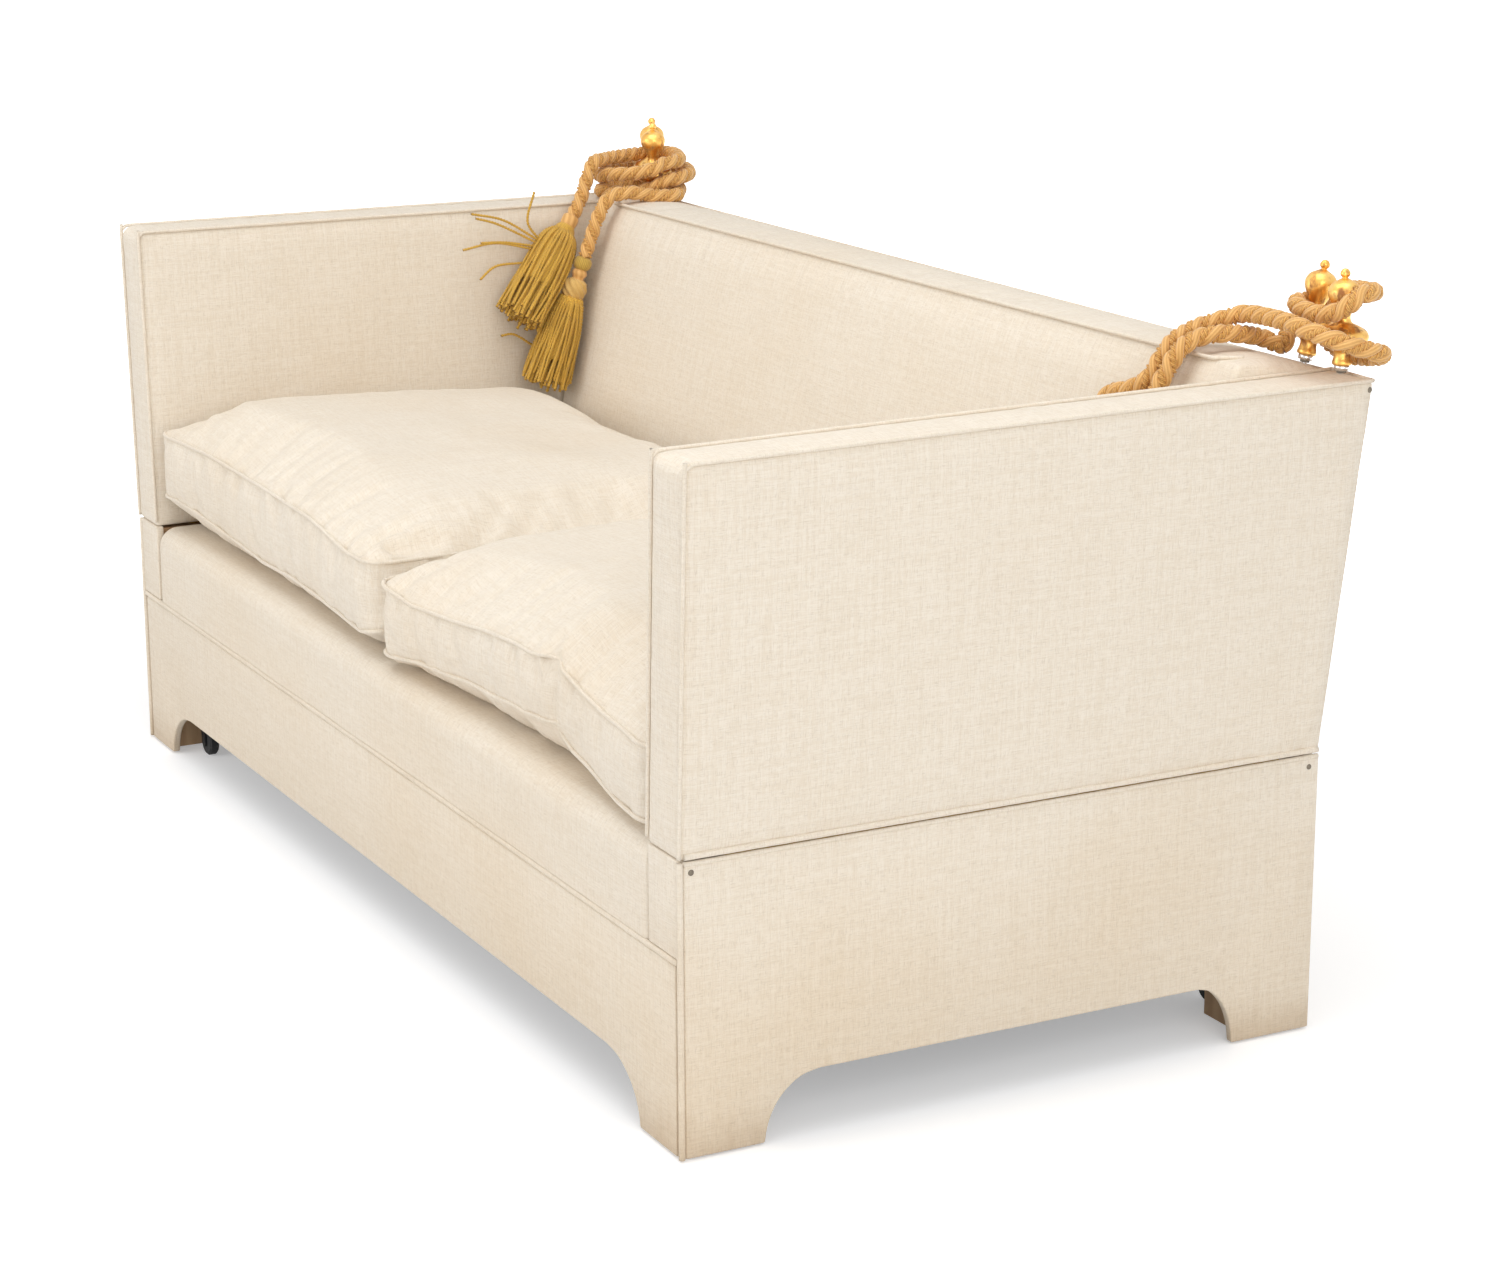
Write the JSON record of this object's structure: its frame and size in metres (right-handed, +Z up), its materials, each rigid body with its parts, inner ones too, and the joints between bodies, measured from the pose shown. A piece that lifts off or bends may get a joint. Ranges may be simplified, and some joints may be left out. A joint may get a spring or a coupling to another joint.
{
  "type": "knole sofa",
  "caption": "Two-seat box sofa with level arms that let down on long hinges, rope-tied finials at the rear corners, loose cushions, bracket feet and castors.",
  "frame": {"origin": "on the floor under the middle of the whole sofa, rope included", "axes": "+X towards the sitter's left arm as seen from the front on the right, -Y is the open front, +Z up"},
  "size_m": [2.0466, 1.0031, 0.9804],
  "materials": {
    "linen": "matt slubbed cream linen over padding",
    "beech": "planed beech",
    "bottom_cloth": "black bottom cloth",
    "spring_wire": "dark zigzag spring wire",
    "steel": "bright screws",
    "hinge_brass": "rolled piano hinge",
    "castor_iron": "black castor fork",
    "castor_wheel": "black wheel",
    "gilt": "worn gilding on turned wood",
    "rope": "tan gold twisted rope",
    "tassel": "mustard twisted silk threads"
  },
  "bodies": {
    "base": {"front_skirt": "linen", "rear_skirt": "linen", "left_side_cover": "linen", "right_side_cover": "linen", "front_piping": "linen", "left_corner_piping": "linen", "right_corner_piping": "linen", "seat_deck": "linen", "left_cushion": "linen", "right_cushion": "linen", "back_cover": "linen", "back_piping": "linen", "front_rail": "beech", "back_rail": "beech", "left_side_rail": "beech", "right_side_rail": "beech", "front_left_post": "beech", "front_right_post": "beech", "rear_left_post": "beech", "rear_right_post": "beech", "back_frame": "beech", "bottom_cloth": "bottom_cloth", "seat_springs": "spring_wire", "left_back_finial_screw": "steel", "right_back_finial_screw": "steel", "left_hinge_base_leaf": "hinge_brass", "right_hinge_base_leaf": "hinge_brass", "left_back_finial": "gilt", "right_back_finial": "gilt", "left_rope_winding": "rope", "right_rope_winding": "rope", "left_front_tail": "rope", "left_back_tail": "rope", "right_front_tail": "rope", "right_rear_tail": "rope", "left_front_tassel": "tassel", "left_back_tassel": "tassel", "right_front_tassel": "tassel", "right_rear_tassel": "tassel"},
    "left_arm": {"left_arm_cover": "linen", "left_arm_frame": "beech", "left_arm_piping": "linen", "left_arm_finial": "gilt", "left_arm_finial_screw": "steel", "left_hinge_arm_leaf": "hinge_brass"},
    "right_arm": {"right_arm_cover": "linen", "right_arm_frame": "beech", "right_arm_piping": "linen", "right_arm_finial": "gilt", "right_arm_finial_screw": "steel", "right_hinge_arm_leaf": "hinge_brass"},
    "front_left_castor_swivel": {"front_left_castor_fork": "castor_iron"},
    "front_left_castor_roller": {"front_left_castor_wheel": "castor_wheel"},
    "front_right_castor_swivel": {"front_right_castor_fork": "castor_iron"},
    "front_right_castor_roller": {"front_right_castor_wheel": "castor_wheel"},
    "rear_left_castor_swivel": {"rear_left_castor_fork": "castor_iron"},
    "rear_left_castor_roller": {"rear_left_castor_wheel": "castor_wheel"},
    "rear_right_castor_swivel": {"rear_right_castor_fork": "castor_iron"},
    "rear_right_castor_roller": {"rear_right_castor_wheel": "castor_wheel"}
  },
  "joints": [
    {"name": "right_arm_hinge", "type": "hinge", "parent": "base", "child": "right_arm", "pos_m": [0.973, 0, 0.36895], "axis": [0, 1, 0], "range_deg": [0, 88], "deforming": ["right_rope_winding"]},
    {"name": "left_arm_hinge", "type": "hinge", "parent": "base", "child": "left_arm", "pos_m": [-0.973, 0, 0.36895], "axis": [0, -1, 0], "range_deg": [0, 88], "deforming": ["left_rope_winding"]},
    {"name": "front_left_castor_turn", "type": "hinge", "parent": "base", "child": "front_left_castor_swivel", "pos_m": [-0.8447, -0.4412, 0.09], "axis": [0, 0, 1], "continuous": true},
    {"name": "front_left_castor_roll", "type": "hinge", "parent": "front_left_castor_swivel", "child": "front_left_castor_roller", "pos_m": [-0.8347, -0.4412, 0.022], "axis": [0, 1, 0], "continuous": true},
    {"name": "front_right_castor_turn", "type": "hinge", "parent": "base", "child": "front_right_castor_swivel", "pos_m": [0.8447, -0.4412, 0.09], "axis": [0, 0, 1], "continuous": true},
    {"name": "front_right_castor_roll", "type": "hinge", "parent": "front_right_castor_swivel", "child": "front_right_castor_roller", "pos_m": [0.8347, -0.4412, 0.022], "axis": [0, 1, 0], "continuous": true},
    {"name": "rear_left_castor_turn", "type": "hinge", "parent": "base", "child": "rear_left_castor_swivel", "pos_m": [-0.8447, 0.3512, 0.09], "axis": [0, 0, 1], "continuous": true},
    {"name": "rear_left_castor_roll", "type": "hinge", "parent": "rear_left_castor_swivel", "child": "rear_left_castor_roller", "pos_m": [-0.8347, 0.3512, 0.022], "axis": [0, 1, 0], "continuous": true},
    {"name": "rear_right_castor_turn", "type": "hinge", "parent": "base", "child": "rear_right_castor_swivel", "pos_m": [0.8447, 0.3512, 0.09], "axis": [0, 0, 1], "continuous": true},
    {"name": "rear_right_castor_roll", "type": "hinge", "parent": "rear_right_castor_swivel", "child": "rear_right_castor_roller", "pos_m": [0.8347, 0.3512, 0.022], "axis": [0, 1, 0], "continuous": true}
  ]
}
